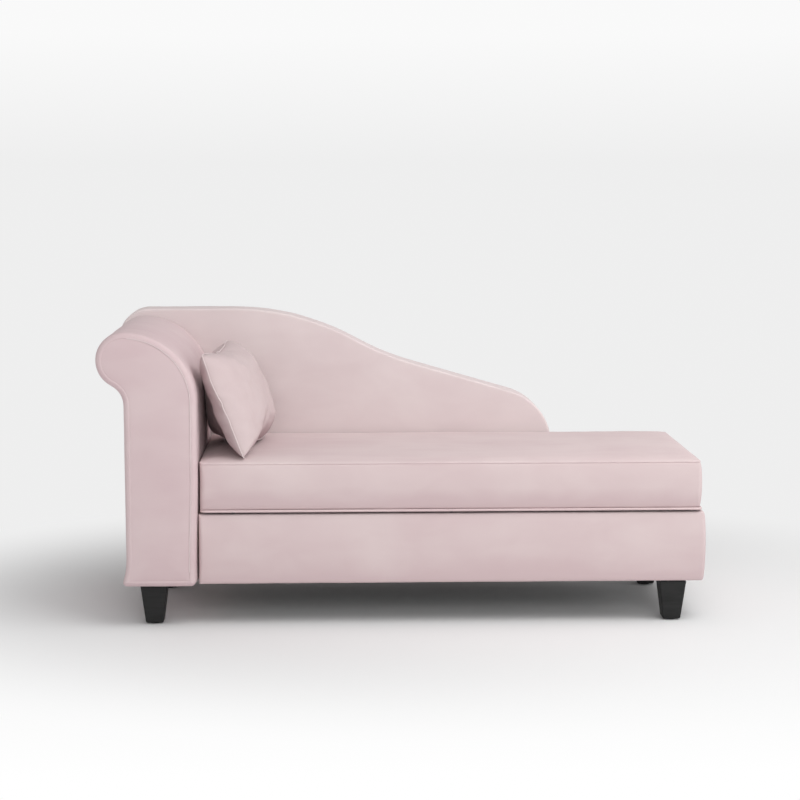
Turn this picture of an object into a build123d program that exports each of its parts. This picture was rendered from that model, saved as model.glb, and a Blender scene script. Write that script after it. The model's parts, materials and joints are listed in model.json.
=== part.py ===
"""Recamier: a one-armed chaise with a scroll arm, a sloping back, a lift-off seat over a box and a pillow.

Millimetres. X runs along the length with the arm at -X, the front faces -Y and Z points up.
The origin is the centre of the footprint on the floor.
"""
import os
from math import asin, atan2, cos, degrees, radians, sin, sqrt, tan

from build123d import *

# Seat block
SEAT_LENGTH = 1364
SEAT_DEPTH = 560
SEAT_THICKNESS = 135
SEAT_CROWN = 12
SEAT_CROWN_RUN = 110
SEAT_RIM = 10
SEAT_CORNER = 14
SEAT_FRAME_INSET = 16
SEAT_FRAME_HEIGHT = 40
SEAT_RAIL = 45
SEAT_BAYS = 4
WEBBING_WIDTH = 60
WEBBING_THICKNESS = 2
WEBBING_PITCH = 96
WELT_RADIUS = 3.5
WELT_PROUD = 0.5
WELT_SIDES = 12
CLEAT_LENGTH = 220
CLEAT_SECTION = 24

# Box base
BASE_HEIGHT = 192
BASE_END_OVERHANG = 12
BASE_CORNER = 14
BASE_RIM = 6
PANEL = 18
FRONT_PAD = 10
END_PAD = 8
FLOOR_THICKNESS = 6
BATTEN_HEIGHT = 40
BATTEN_WIDTH = 20
FLOOR_BEARERS = 2
DUST_COVER = 1
BUMPER_RADIUS = 5
BUMPERS_PER_SIDE = 3
BUMPER_END_INSET = 75

# Scroll arm
ARM_WIDTH = 193
ARM_HEIGHT = 801
ARM_TOP_RADIUS = 190
ARM_ROLL_RADIUS = 76
ARM_PROUD = 30
ARM_FRONT_SOFTNESS = 14
NECK_RADIUS = 58
FLARE_OUT = 14
FLARE_HEIGHT = 80
FACING_INSET = 17
ARM_PADDING = 20
ARM_FRONT_PADDING = 18
ARM_SKIN = 3
ARM_BOARD = 18
ARM_RAIL = 40
ARM_RAIL_DROP = 30
ARM_POST_INSET = 26
ARM_BLOCK_HEIGHT = 45
ARM_BLOCK_DEPTH = 92

# Sloping back
BACK_THICKNESS = 107
BACK_HEIGHT = 819
BACK_REACH = 1014
BACK_CREST_REACH = 64
BACK_CREST_RADIUS = 750
BACK_DIP_RADIUS = 845
BACK_STEEP = 28.8
BACK_SHALLOW = 16.3
BACK_NOSE_RADIUS = 170
BACK_ROLL_RADIUS = 85
BACK_SOFTNESS = 24
BACK_FOAM = 40
BACK_RIM_FOAM = 20
BACK_PANEL = 12
BACK_REAR_BOARD = 4
BACK_POST = 45
BACK_POSTS = 4
BACK_POST_INSET = 20
SPACER_HEIGHT = 60
SPACER_RISE = 65

# Legs
LEG_HEIGHT = 113
LEG_TOP = 73
LEG_FOOT = 48
LEG_EDGE = 3
LEG_FOOT_CHAMFER = 2
LEG_INSET_RIGHT = 88
LEG_INSET_LEFT = 70
LEG_INSET_FRONT = 45
LEG_INSET_REAR = 77
LEG_PLATE = 66
LEG_PLATE_THICKNESS = 3
LEG_BOLT_UP = 25
LEG_BOLT_DOWN = 35
LEG_BLOCK = 100
GLIDE_HEIGHT = 4
GLIDE_RADIUS = 14

# Pillow
PILLOW_LENGTH = 446
PILLOW_HEIGHT = 298
PILLOW_THICKNESS = 128
PILLOW_DRAW = 13
PILLOW_KNIFE = 25
PILLOW_FLAT = 0.3
PILLOW_BANDS = 6
PILLOW_SIDE_RUNS = 8
PILLOW_LEAN = 22.8
PILLOW_YAW = 7
PILLOW_FROM_ARM = 97
PILLOW_FROM_BACK = 321

# Cloth, bolts and clearances
COVER = 2
PILLOW_COVER = 1.5
BOLT_RADIUS = 4
BOLT_HEAD_RADIUS = 8
BOLT_HEAD = 5
BOLT_CLEARANCE = 0.3
ARM_BOLT_GRIP = 30
SEAT_GAP = 5
ARM_GAP = 4
BACK_GAP = 3
TOUCH = 0.3
CLEAT_CLEARANCE = 3

# Places that follow from the sizes
TOTAL_LENGTH = ARM_TOP_RADIUS + ARM_ROLL_RADIUS + ARM_GAP + SEAT_LENGTH + BASE_END_OVERHANG
TOTAL_DEPTH = ARM_PROUD + SEAT_DEPTH + BACK_GAP + BACK_THICKNESS
X_LEFT = -TOTAL_LENGTH / 2
X_RIGHT = TOTAL_LENGTH / 2
X_ROLL = X_LEFT + ARM_ROLL_RADIUS
X_ARM_INNER = X_ROLL + ARM_TOP_RADIUS
X_ARM_OUTER = X_ARM_INNER - ARM_WIDTH
X_SEAT_LEFT = X_ARM_INNER + ARM_GAP
X_SEAT_RIGHT = X_SEAT_LEFT + SEAT_LENGTH
X_SEAT_MID = (X_SEAT_LEFT + X_SEAT_RIGHT) / 2
X_BASE_LEFT = X_ARM_INNER + TOUCH
Y_ARM_FRONT = -TOTAL_DEPTH / 2
Y_FRONT = Y_ARM_FRONT + ARM_PROUD
Y_SEAT_REAR = Y_FRONT + SEAT_DEPTH
Y_SEAT_MID = (Y_FRONT + Y_SEAT_REAR) / 2
Y_BACK = Y_SEAT_REAR + BACK_GAP
Y_BASE_REAR = Y_BACK - TOUCH
Y_REAR = TOTAL_DEPTH / 2
Z_UNDER = LEG_HEIGHT
Z_FRAME = Z_UNDER + COVER
Z_BASE_TOP = Z_UNDER + BASE_HEIGHT
Z_SEAT = Z_BASE_TOP + SEAT_GAP
Z_SEAT_EDGE = Z_SEAT + SEAT_THICKNESS
Z_SEAT_TOP = Z_SEAT_EDGE + SEAT_CROWN
Z_ARM_ARC = ARM_HEIGHT - ARM_TOP_RADIUS
Z_ARM_ROLL = ARM_HEIGHT - ARM_ROLL_RADIUS

# Inside faces of the box
X_BOX_LEFT = X_BASE_LEFT + PANEL
X_BOX_RIGHT = X_RIGHT - COVER - END_PAD - PANEL
Y_BOX_FRONT = Y_FRONT + COVER + FRONT_PAD + PANEL
Y_BOX_REAR = Y_BASE_REAR - COVER - PANEL
Z_FLOOR = Z_FRAME + BATTEN_HEIGHT

# Leg centres
X_LEGS = (X_ARM_OUTER + LEG_INSET_LEFT, X_RIGHT - LEG_INSET_RIGHT)
Y_LEGS = (Y_FRONT + LEG_INSET_FRONT, Y_SEAT_REAR - LEG_INSET_REAR)
LEG_SPOTS = [(x, y) for x in X_LEGS for y in Y_LEGS]


def block(x0, x1, y0, y1, z0, z1):
    """A board between two opposite corners."""
    return Pos((x0 + x1) / 2, (y0 + y1) / 2, (z0 + z1) / 2) * Box(x1 - x0, y1 - y0, z1 - z0)


def rod(start, end, radius):
    """A round bar between two points."""
    span = Vector(*end) - Vector(*start)
    return Solid.make_cylinder(radius, span.length, Plane(origin=start, z_dir=span))


def depth_slab(face, y_near, y_far):
    """A face drawn in X and Z, made solid between two depths."""
    plane = Plane(origin=(0, y_far, 0), x_dir=(1, 0, 0), z_dir=(0, -1, 0))
    return extrude(plane * face, amount=y_far - y_near, dir=(0, -1, 0))


def length_slab(face, x_near, x_far):
    """A face drawn in Y and Z, made solid between two lengths."""
    plane = Plane(origin=(x_near, 0, 0), x_dir=(0, 1, 0), z_dir=(1, 0, 0))
    return extrude(plane * face, amount=x_far - x_near, dir=(1, 0, 0))


def front_rim(body, z_low):
    """Front edges of an upholstered form, except along its underside."""
    rim = body.faces().sort_by(Axis.Y)[0].edges()
    return rim.filter_by(lambda edge: edge.center().Z > z_low + 1)


def save(node, *solids):
    """Write one piece, or a group of equal pieces, under its own name."""
    shape = solids[0] if len(solids) == 1 else Compound(children=list(solids))
    export_step(shape, f"parts/{node}.step")


def spread(first, last, count):
    """Evenly spaced places from the first to the last."""
    return [first + (last - first) * index / (count - 1) for index in range(count)]


def scroll_edges(x_roll, z_roll, radius, inset, z_low):
    """Edges from the crest of a scroll, round the roll and the waist and down to the flared foot."""
    neck_x = X_ARM_OUTER - NECK_RADIUS
    neck_drop = sqrt((radius + NECK_RADIUS) ** 2 - (x_roll - neck_x) ** 2)
    neck_z = z_roll - neck_drop
    turn = degrees(atan2(neck_drop, x_roll - neck_x))
    flare_radius = (FLARE_HEIGHT**2 + FLARE_OUT**2) / (2 * FLARE_OUT)
    flare_z = Z_UNDER + FLARE_HEIGHT
    flare_turn = degrees(asin((flare_z - z_low) / (flare_radius + inset)))
    flare_x = X_ARM_OUTER - flare_radius
    roll = CenterArc((x_roll, z_roll), radius - inset, 90, 90 + turn)
    neck = CenterArc((neck_x, neck_z), NECK_RADIUS + inset, turn, -turn)
    side = Line((X_ARM_OUTER + inset, neck_z), (X_ARM_OUTER + inset, flare_z))
    flare = CenterArc((flare_x, flare_z), flare_radius + inset, 0, -flare_turn)
    return [roll, neck, side, flare]


def arm_profile(inset, z_low):
    """End outline of the arm, drawn in by the inset: upright inner face, big shoulder, roll and waist."""
    inner = X_ARM_INNER - inset
    scroll = scroll_edges(X_ROLL, Z_ARM_ROLL, ARM_ROLL_RADIUS, inset, z_low)
    upright = Line((inner, z_low), (inner, Z_ARM_ARC))
    shoulder = CenterArc((X_ROLL, Z_ARM_ARC), ARM_TOP_RADIUS - inset, 0, 90)
    foot = Line(scroll[-1] @ 1, (inner, z_low))
    return make_face([upright, shoulder, *scroll, foot])


def back_profile(inset, z_low):
    """Front outline of the back, drawn in by the inset: crest, falling S line and rounded nose."""
    steep = radians(BACK_STEEP)
    shallow = radians(BACK_SHALLOW)
    crest_x = X_SEAT_LEFT + BACK_CREST_REACH
    crest_z = BACK_HEIGHT - BACK_CREST_RADIUS
    steep_x = crest_x + BACK_CREST_RADIUS * sin(steep)
    steep_z = crest_z + BACK_CREST_RADIUS * cos(steep)
    dip_x = steep_x + BACK_DIP_RADIUS * sin(steep)
    dip_z = steep_z + BACK_DIP_RADIUS * cos(steep)
    shallow_x = dip_x - BACK_DIP_RADIUS * sin(shallow)
    shallow_z = dip_z - BACK_DIP_RADIUS * cos(shallow)
    nose_tip = X_SEAT_LEFT + BACK_REACH
    nose_x = nose_tip - BACK_NOSE_RADIUS
    tangent_x = nose_x + BACK_NOSE_RADIUS * sin(shallow)
    nose_z = shallow_z - tan(shallow) * (tangent_x - shallow_x) - BACK_NOSE_RADIUS * cos(shallow)
    roll_x = X_LEFT + BACK_ROLL_RADIUS
    scroll = scroll_edges(roll_x, BACK_HEIGHT - BACK_ROLL_RADIUS, BACK_ROLL_RADIUS, inset, z_low)
    end = Line((nose_tip - inset, z_low), (nose_tip - inset, nose_z))
    nose = CenterArc((nose_x, nose_z), BACK_NOSE_RADIUS - inset, 0, 90 - BACK_SHALLOW)
    dip = CenterArc((dip_x, dip_z), BACK_DIP_RADIUS + inset, 270 - BACK_SHALLOW, BACK_SHALLOW - BACK_STEEP)
    slope = Line(nose @ 1, dip @ 0)
    crest = CenterArc((crest_x, crest_z), BACK_CREST_RADIUS - inset, 90 - BACK_STEEP, BACK_STEEP)
    top = Line(crest @ 1, scroll[0] @ 0)
    foot = Line(scroll[-1] @ 1, (nose_tip - inset, z_low))
    return make_face([end, nose, slope, dip, crest, top, *scroll, foot])


def cushion_profile(middle, half, inset, z_low):
    """Section of a boxed seat: straight sides, small rim radius, dome along the edge and flat crown."""
    side = half - inset
    rim = SEAT_RIM - inset
    z_top = Z_SEAT_TOP - inset
    z_rim = Z_SEAT_EDGE - inset
    flat = half - SEAT_CROWN_RUN
    run = side - rim - flat
    dome_radius = (run**2 + SEAT_CROWN**2) / (2 * SEAT_CROWN)
    dome_turn = degrees(asin(run / dome_radius))
    dome_z = z_top - dome_radius
    edges = [
        Line((middle - side, z_low), (middle + side, z_low)),
        Line((middle + side, z_low), (middle + side, z_rim - rim)),
        CenterArc((middle + side - rim, z_rim - rim), rim, 0, 90),
        CenterArc((middle + flat, dome_z), dome_radius, 90 - dome_turn, dome_turn),
        Line((middle + flat, z_top), (middle - flat, z_top)),
        CenterArc((middle - flat, dome_z), dome_radius, 90, dome_turn),
        CenterArc((middle - side + rim, z_rim - rim), rim, 90, 90),
        Line((middle - side, z_rim - rim), (middle - side, z_low)),
    ]
    return make_face(edges)


def seat_form(inset, z_low):
    """The seat's soft outside, drawn in by the inset: a rounded plan crowned both ways."""
    plan = RectangleRounded(SEAT_LENGTH - 2 * inset, SEAT_DEPTH - 2 * inset, SEAT_CORNER - inset)
    tower = extrude(Pos(X_SEAT_MID, Y_SEAT_MID, z_low) * plan, amount=Z_SEAT_TOP - z_low)
    along = cushion_profile(X_SEAT_MID, SEAT_LENGTH / 2, inset, z_low)
    across = cushion_profile(Y_SEAT_MID, SEAT_DEPTH / 2, inset, z_low)
    lengthwise = depth_slab(along, Y_FRONT, Y_SEAT_REAR)
    crosswise = length_slab(across, X_SEAT_LEFT, X_SEAT_RIGHT)
    return tower & lengthwise & crosswise


def base_form(inset, z_low, z_high):
    """The box's padded outside, drawn in by the inset, with soft corners at the free end."""
    body = block(
        X_BASE_LEFT, X_RIGHT - inset, Y_FRONT + inset, Y_BASE_REAR - inset, z_low + inset, z_high - inset
    )
    corners = body.edges().filter_by(Axis.Z).sort_by(Axis.X)[-2:]
    body = fillet(corners, BASE_CORNER - inset)
    rims = body.faces().sort_by(Axis.Z)[0].edges() + body.faces().sort_by(Axis.Z)[-1].edges()
    rims = rims.filter_by(lambda edge: edge.center().X > X_BASE_LEFT + 1)
    return chamfer(rims, BASE_RIM - inset) if inset else fillet(rims, BASE_RIM)


def pillow_section(length, height, draw, w):
    """Pillow outline at one distance from its middle plane, with sides that draw in between the corners."""
    x = length / 2
    y = height / 2
    sides = [
        ThreePointArc((-x, -y), (0, -y + draw), (x, -y)),
        ThreePointArc((x, -y), (x - draw, 0), (x, y)),
        ThreePointArc((x, y), (0, y - draw), (-x, y)),
        ThreePointArc((-x, y), (-x + draw, 0), (-x, -y)),
    ]
    points = [side @ (run / PILLOW_SIDE_RUNS) for side in sides for run in range(PILLOW_SIDE_RUNS)]
    return Pos(0, 0, w) * make_face(Polyline(points, close=True))


def pillow_form(inset):
    """A knife-edged pillow: two crowned halves that meet along the seam."""
    half = PILLOW_THICKNESS / 2 - inset
    start = radians(PILLOW_KNIFE)
    halves = []
    for side in (-1, 1):
        sections = []
        for index in range(PILLOW_BANDS + 1):
            angle = start + (radians(90) - start) * index / PILLOW_BANDS
            rise = (sin(angle) - sin(start)) / (1 - sin(start))
            share = PILLOW_FLAT + (1 - PILLOW_FLAT) * cos(angle) / cos(start)
            length = PILLOW_LENGTH * share - 2 * inset
            height = PILLOW_HEIGHT * share - 2 * inset
            sections.append(pillow_section(length, height, PILLOW_DRAW * share, side * rise * half))
        halves.append(loft(sections, ruled=True))
    return halves[0] + halves[1]


def bolt(start, end, head_end):
    """A bolt with a round head on the side of its first point."""
    return rod(start, end, BOLT_RADIUS) + rod(start, head_end, BOLT_HEAD_RADIUS)


os.makedirs("parts", exist_ok=True)
HOLE = BOLT_RADIUS + BOLT_CLEARANCE

# Legs: tapered square blocks on plastic glides, each hung on a bolt through a steel plate
LEG_NAMES = ("leg_front_left", "leg_rear_left", "leg_front_right", "leg_rear_right")
z_leg_top = Z_UNDER - LEG_PLATE_THICKNESS
leg_holes = []
leg_bolts = []
leg_plates = []
leg_glides = []
for name, (x, y) in zip(LEG_NAMES, LEG_SPOTS):
    low = (x, y, z_leg_top - LEG_BOLT_DOWN)
    high = (x, y, Z_UNDER + LEG_BOLT_UP)
    hole = rod(low, (x, y, Z_UNDER + LEG_BOLT_UP + BOLT_CLEARANCE), HOLE)
    foot = Pos(x, y, GLIDE_HEIGHT) * Rectangle(LEG_FOOT, LEG_FOOT)
    top = Pos(x, y, z_leg_top) * Rectangle(LEG_TOP, LEG_TOP)
    leg = loft([foot, top], ruled=True)
    corners = leg.edges().filter_by(lambda edge: abs(edge.center().Z - (z_leg_top + GLIDE_HEIGHT) / 2) < 1)
    leg = chamfer(corners, LEG_EDGE)
    leg = chamfer(leg.faces().sort_by(Axis.Z)[0].edges(), LEG_FOOT_CHAMFER)
    save(name, leg - hole)
    half = LEG_PLATE / 2
    leg_plates.append(block(x - half, x + half, y - half, y + half, z_leg_top, Z_UNDER) - hole)
    leg_bolts.append(rod(low, high, BOLT_RADIUS))
    leg_glides.append(rod((x, y, 0), (x, y, GLIDE_HEIGHT), GLIDE_RADIUS))
    leg_holes.append(hole)
save("leg_plates", *leg_plates)
save("leg_bolts", *leg_bolts)
save("leg_glides", *leg_glides)

# Bolts that hold the arm and the back to the box, with their heads inside it
x_arm_core = X_ARM_INNER - COVER - ARM_PADDING - ARM_SKIN
y_arm_frame = Y_ARM_FRONT + COVER + ARM_FRONT_PADDING
y_arm_posts = (Y_BOX_FRONT + ARM_POST_INSET, Y_BOX_REAR - ARM_POST_INSET)
z_arm_bolts = (Z_FLOOR + BATTEN_HEIGHT, Z_BASE_TOP - BATTEN_HEIGHT)
arm_bolts = []
arm_holes = []
for y in y_arm_posts:
    for z in z_arm_bolts:
        start = (X_BOX_LEFT, y, z)
        end = (x_arm_core - ARM_BOLT_GRIP, y, z)
        arm_bolts.append(bolt(start, end, (X_BOX_LEFT + BOLT_HEAD, y, z)))
        arm_holes.append(rod(start, (x_arm_core - ARM_BOLT_GRIP - BOLT_CLEARANCE, y, z), HOLE))
save("arm_bolts", *arm_bolts)

y_back_panel = Y_BACK + COVER + BACK_FOAM
z_spacer = Z_UNDER + SPACER_RISE
z_back_bolt = z_spacer + SPACER_HEIGHT / 2
x_back_right = X_SEAT_LEFT + BACK_REACH - COVER - BACK_RIM_FOAM
x_back_bolts = spread(X_BOX_LEFT + 2 * BACK_POST, x_back_right - 2 * BACK_POST, 4)
back_bolts = []
back_holes = []
for x in x_back_bolts:
    start = (x, Y_BOX_REAR, z_back_bolt)
    end = (x, y_back_panel + BACK_PANEL, z_back_bolt)
    back_bolts.append(bolt(start, end, (x, Y_BOX_REAR - BOLT_HEAD, z_back_bolt)))
    back_holes.append(rod(start, end, HOLE))
save("back_bolts", *back_bolts)

# Box base: four panels, pads on the two show sides, one cover drawn over the rims
base_core = base_form(COVER, Z_UNDER, Z_BASE_TOP)
cavity = block(X_BOX_LEFT, X_BOX_RIGHT, Y_BOX_FRONT, Y_BOX_REAR, Z_UNDER, Z_BASE_TOP)
y_front_panel = Y_BOX_FRONT - PANEL
x_right_panel = X_BOX_RIGHT + PANEL
end_zone = block(X_BASE_LEFT, X_BOX_LEFT, Y_BOX_FRONT, Y_BOX_REAR, Z_UNDER, Z_BASE_TOP)
base_cover = base_form(0, Z_UNDER, Z_BASE_TOP) - base_core - cavity - end_zone
save("base_cover", base_cover - back_holes)
front_pad_zone = block(X_BASE_LEFT, X_RIGHT, Y_FRONT, y_front_panel, Z_UNDER, Z_BASE_TOP)
end_pad_zone = block(x_right_panel, X_RIGHT, y_front_panel, Y_BASE_REAR, Z_UNDER, Z_BASE_TOP)
front_zone = block(X_BASE_LEFT, x_right_panel, y_front_panel, Y_BOX_FRONT, Z_UNDER, Z_BASE_TOP)
rear_zone = block(X_BASE_LEFT, x_right_panel, Y_BOX_REAR, Y_BASE_REAR, Z_UNDER, Z_BASE_TOP)
right_zone = block(X_BOX_RIGHT, x_right_panel, Y_BOX_FRONT, Y_BOX_REAR, Z_UNDER, Z_BASE_TOP)
save("base_front_pad", base_core & front_pad_zone)
save("base_end_pad", base_core & end_pad_zone)
save("base_front_panel", base_core & front_zone)
save("base_rear_panel", (base_core & rear_zone) - back_holes)
save("base_right_panel", base_core & right_zone)
save("base_left_panel", (base_core & end_zone) - arm_holes)

# Floor of the box on battens and bearers, with blocks over the two right-hand legs
x_blocks = X_BOX_RIGHT - LEG_BLOCK
y_front_block = Y_BOX_FRONT + LEG_BLOCK
y_rear_block = Y_BOX_REAR - LEG_BLOCK
front_block = block(x_blocks, X_BOX_RIGHT, Y_BOX_FRONT, y_front_block, Z_FRAME, Z_FLOOR)
rear_block = block(x_blocks, X_BOX_RIGHT, y_rear_block, Y_BOX_REAR, Z_FRAME, Z_FLOOR)
save("base_leg_blocks", front_block - leg_holes, rear_block - leg_holes)
y_front_batten = Y_BOX_FRONT + BATTEN_WIDTH
y_rear_batten = Y_BOX_REAR - BATTEN_WIDTH
battens = [
    block(X_BOX_LEFT, x_blocks, Y_BOX_FRONT, y_front_batten, Z_FRAME, Z_FLOOR),
    block(X_BOX_LEFT, x_blocks, y_rear_batten, Y_BOX_REAR, Z_FRAME, Z_FLOOR),
    block(X_BOX_LEFT, X_BOX_LEFT + BATTEN_WIDTH, y_front_batten, y_rear_batten, Z_FRAME, Z_FLOOR),
    block(X_BOX_RIGHT - BATTEN_WIDTH, X_BOX_RIGHT, y_front_block, y_rear_block, Z_FRAME, Z_FLOOR),
]
for x in spread(X_BOX_LEFT, X_BOX_RIGHT, FLOOR_BEARERS + 2)[1:-1]:
    left = x - BATTEN_WIDTH / 2
    battens.append(block(left, left + BATTEN_WIDTH, y_front_batten, y_rear_batten, Z_FRAME, Z_FLOOR))
save("base_battens", *battens)
save("base_floor", block(X_BOX_LEFT, X_BOX_RIGHT, Y_BOX_FRONT, Y_BOX_REAR, Z_FLOOR, Z_FLOOR + FLOOR_THICKNESS))
dust = block(X_BOX_LEFT, X_BOX_RIGHT, Y_BOX_FRONT, Y_BOX_REAR, Z_FRAME - DUST_COVER, Z_FRAME)
save("base_dust_cover", dust - leg_holes)

# Felt bumpers on the rim make the shadow gap and carry the closed seat
z_seat_lining = Z_SEAT + DUST_COVER
y_bumpers = (Y_BOX_FRONT - BUMPER_RADIUS, Y_BOX_REAR + BUMPER_RADIUS)
bumpers = []
for x in spread(X_BOX_LEFT + BUMPER_END_INSET, X_BOX_RIGHT - BUMPER_END_INSET, BUMPERS_PER_SIDE):
    for y in y_bumpers:
        bumpers.append(rod((x, y, Z_BASE_TOP), (x, y, z_seat_lining - TOUCH), BUMPER_RADIUS))
save("seat_bumpers", *bumpers)

# Arm: two boards and rails, a bent skin, foam and a sewn cover with its own front facing
y_arm_rear = Y_BASE_REAR
arm_outside = depth_slab(arm_profile(0, Z_UNDER), Y_ARM_FRONT, y_arm_rear)
arm_outside = fillet(front_rim(arm_outside, Z_UNDER), ARM_FRONT_SOFTNESS)
arm_inside = depth_slab(arm_profile(COVER, Z_FRAME), Y_ARM_FRONT + COVER, y_arm_rear)
arm_inside = chamfer(front_rim(arm_inside, Z_FRAME), ARM_FRONT_SOFTNESS - COVER)
facing = depth_slab(arm_profile(FACING_INSET, Z_UNDER + FACING_INSET), Y_ARM_FRONT, Y_ARM_FRONT + COVER)
skin_inset = COVER + ARM_PADDING
core_inset = skin_inset + ARM_SKIN
arm_hollow = depth_slab(arm_profile(skin_inset, Z_FRAME), y_arm_frame, y_arm_rear)
skin_hollow = depth_slab(arm_profile(core_inset, Z_UNDER), y_arm_frame, y_arm_rear)
save("arm_cover", arm_outside - arm_inside - facing - arm_holes - leg_holes)
save("arm_facing", facing)
save("arm_padding", arm_inside - arm_hollow - arm_holes)
save("arm_skin", arm_hollow - skin_hollow - arm_holes)
y_rails = y_arm_frame + ARM_BOARD
y_rails_end = y_arm_rear - ARM_BOARD
save("arm_front_board", depth_slab(arm_profile(core_inset, Z_FRAME), y_arm_frame, y_rails))
save("arm_rear_board", depth_slab(arm_profile(core_inset, Z_FRAME), y_rails_end, y_arm_rear))
x_outer_core = X_ARM_OUTER + core_inset
z_rail = Z_ARM_ARC - ARM_RAIL_DROP
half = ARM_RAIL / 2
roll_rail = block(X_ROLL - half, X_ROLL + half, y_rails, y_rails_end, Z_ARM_ROLL - half, Z_ARM_ROLL + half)
inner_rail = block(x_arm_core - ARM_RAIL, x_arm_core, y_rails, y_rails_end, z_rail - ARM_RAIL, z_rail)
outer_rail = block(x_outer_core, x_outer_core + ARM_RAIL, y_rails, y_rails_end, z_rail - ARM_RAIL, z_rail)
save("arm_rails", roll_rail, inner_rail, outer_rail)
z_blocks = Z_FRAME + ARM_BLOCK_HEIGHT
posts = []
for y in y_arm_posts:
    post = block(x_arm_core - ARM_RAIL, x_arm_core, y - half, y + half, z_blocks, z_rail - ARM_RAIL)
    posts.append(post - arm_holes)
save("arm_posts", *posts)
front_foot = block(x_outer_core, x_arm_core, y_rails, y_rails + ARM_BLOCK_DEPTH, Z_FRAME, z_blocks)
rear_foot = block(x_outer_core, x_arm_core, Y_LEGS[1] - ARM_BLOCK_DEPTH / 2, y_rails_end, Z_FRAME, z_blocks)
save("arm_leg_blocks", front_foot - leg_holes, rear_foot - leg_holes)

# Back: panel, posts and rear board, foam over the front and the rim, cover in two pieces
y_rear_cover = Y_REAR - COVER
y_rear_board = y_rear_cover - BACK_REAR_BOARD
core = COVER + BACK_RIM_FOAM
back_outside = depth_slab(back_profile(0, Z_UNDER), Y_BACK, y_rear_cover)
back_outside = fillet(front_rim(back_outside, Z_UNDER), BACK_SOFTNESS)
back_inside = depth_slab(back_profile(COVER, Z_FRAME), Y_BACK + COVER, y_rear_cover)
back_inside = chamfer(front_rim(back_inside, Z_FRAME), BACK_SOFTNESS - COVER)
back_core = depth_slab(back_profile(core, Z_FRAME), y_back_panel, y_rear_cover)
below_seat = block(X_LEFT, X_RIGHT, Y_BACK, y_back_panel, 0, Z_BASE_TOP)
save("back_cover", back_outside - back_inside - back_holes)
save("back_rear_cover", depth_slab(back_profile(0, Z_UNDER), y_rear_cover, Y_REAR))
save("back_padding", back_inside - back_core - below_seat)
panel = depth_slab(back_profile(core, Z_FRAME), y_back_panel, y_back_panel + BACK_PANEL)
save("back_panel", panel - back_holes)
save("back_rear_board", depth_slab(back_profile(core, Z_FRAME), y_rear_board, y_rear_cover))
post_zone = depth_slab(back_profile(core, Z_FRAME), y_back_panel + BACK_PANEL, y_rear_board)
x_first = X_ARM_OUTER + core + BACK_POST_INSET
x_last = x_back_right - BACK_POST_INSET - BACK_POST
back_posts = []
for x in spread(x_first, x_last, BACK_POSTS):
    back_posts.append(post_zone & block(x, x + BACK_POST, Y_BACK, Y_REAR, 0, BACK_HEIGHT))
save("back_posts", *back_posts)
x_spacer = x_back_right - BACK_SOFTNESS
spacer = block(X_BASE_LEFT, x_spacer, Y_BACK + COVER, y_back_panel, z_spacer, z_spacer + SPACER_HEIGHT)
save("back_spacer", spacer - back_holes)

# Seat: glued frame, webbing, one crowned foam block, boxed cover, welt and black lining underneath
z_frame = z_seat_lining + DUST_COVER
z_frame_top = z_frame + SEAT_FRAME_HEIGHT
z_web_top = z_frame_top + WEBBING_THICKNESS
x_frame = (X_SEAT_LEFT + SEAT_FRAME_INSET, X_SEAT_RIGHT - SEAT_FRAME_INSET)
y_frame = (Y_FRONT + SEAT_FRAME_INSET, Y_SEAT_REAR - SEAT_FRAME_INSET)
frame = block(*x_frame, *y_frame, z_frame, z_frame_top)
bay = (x_frame[1] - x_frame[0] - SEAT_RAIL) / SEAT_BAYS
for index in range(SEAT_BAYS):
    x = x_frame[0] + SEAT_RAIL + bay * index
    frame -= block(x, x + bay - SEAT_RAIL, y_frame[0] + SEAT_RAIL, y_frame[1] - SEAT_RAIL, z_frame, z_frame_top)
save("seat_frame", frame)
straps = int((x_frame[1] - x_frame[0] - WEBBING_WIDTH) / WEBBING_PITCH) + 1
webbing = []
for x in spread(x_frame[0], x_frame[1] - WEBBING_WIDTH, straps):
    webbing.append(block(x, x + WEBBING_WIDTH, *y_frame, z_frame_top, z_web_top))
save("seat_webbing", *webbing)
z_welt = Z_SEAT + WELT_RADIUS
z_hem = Z_SEAT + 2 * WELT_RADIUS + TOUCH
frame_zone = block(*x_frame, *y_frame, Z_SEAT, z_web_top)
seat_inside = seat_form(COVER, z_hem)
seat_outside = seat_form(0, z_hem)
save("seat_foam", seat_inside - frame_zone)
save("seat_cover", seat_outside - seat_inside)
welt_inset = WELT_RADIUS - WELT_PROUD
welt_plan = RectangleRounded(SEAT_LENGTH - 2 * welt_inset, SEAT_DEPTH - 2 * welt_inset, SEAT_CORNER - welt_inset)
welt_path = (Pos(X_SEAT_MID, Y_SEAT_MID, z_welt) * welt_plan).face().outer_wire()
welt_section = Plane(origin=welt_path @ 0, z_dir=welt_path % 0) * RegularPolygon(WELT_RADIUS, WELT_SIDES)
save("seat_welt", sweep(welt_section, path=welt_path))
trim = welt_inset + WELT_RADIUS + TOUCH
lining_plan = RectangleRounded(SEAT_LENGTH - 2 * trim, SEAT_DEPTH - 2 * trim, SEAT_CORNER - trim)
save("seat_lining", extrude(Pos(X_SEAT_MID, Y_SEAT_MID, z_seat_lining) * lining_plan, amount=DUST_COVER))
cleats = []
for x in spread(X_BOX_LEFT + CLEAT_LENGTH, X_BOX_RIGHT - 2 * CLEAT_LENGTH, 2):
    y_front_cleat = Y_BOX_FRONT + CLEAT_CLEARANCE
    y_rear_cleat = Y_BOX_REAR - CLEAT_CLEARANCE - CLEAT_SECTION
    for y in (y_front_cleat, y_rear_cleat):
        low = z_seat_lining - CLEAT_SECTION
        cleats.append(block(x, x + CLEAT_LENGTH, y, y + CLEAT_SECTION, low, z_seat_lining))
save("seat_cleats", *cleats)

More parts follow.
